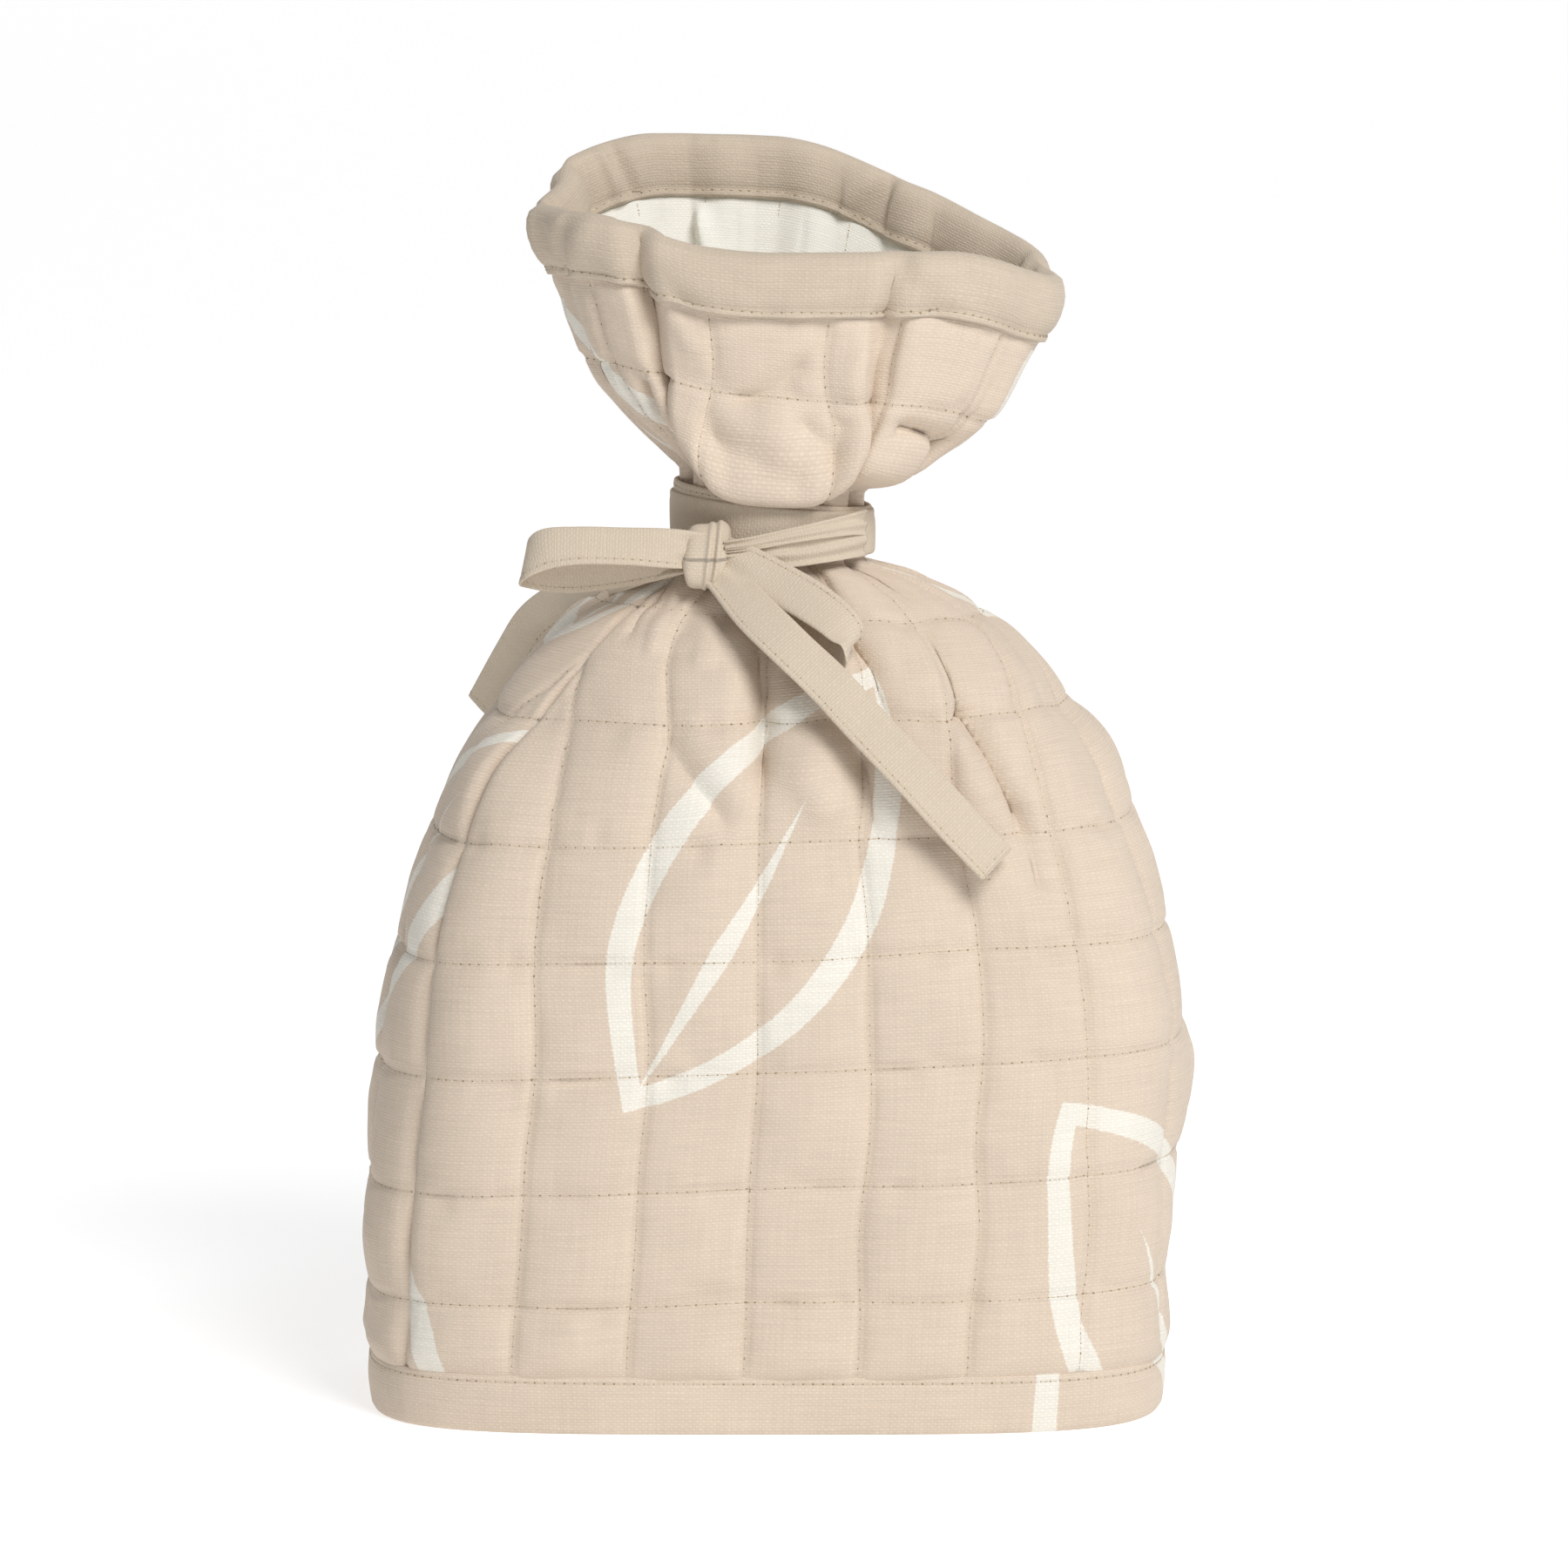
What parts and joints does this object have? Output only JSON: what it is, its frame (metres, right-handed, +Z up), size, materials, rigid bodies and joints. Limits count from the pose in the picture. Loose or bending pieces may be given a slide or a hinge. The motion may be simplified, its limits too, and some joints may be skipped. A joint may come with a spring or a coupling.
{
  "type": "tea cosy",
  "caption": "Quilted cloth tea cosy with a domed body, a neck drawn in by a tied tape and a flared, lined mouth.",
  "frame": {"origin": "middle of the footprint, on the surface that the hem rests on", "axes": "+Z up from the hem to the mouth, -Y towards the front with the bow, +X to the right seen from the front"},
  "size_m": [0.2218, 0.1366, 0.3356],
  "materials": {
    "quilted_front": "matte",
    "quilted_back": "matte",
    "hem_binding": "matte",
    "mouth_binding": "matte",
    "lining": "matte",
    "tie": "matte"
  },
  "bodies": {
    "root": {"front_panel": "quilted_front", "back_panel": "quilted_back", "hem_binding": "hem_binding", "mouth_binding": "mouth_binding", "lining": "lining", "tie": "tie"}
  },
  "joints": []
}
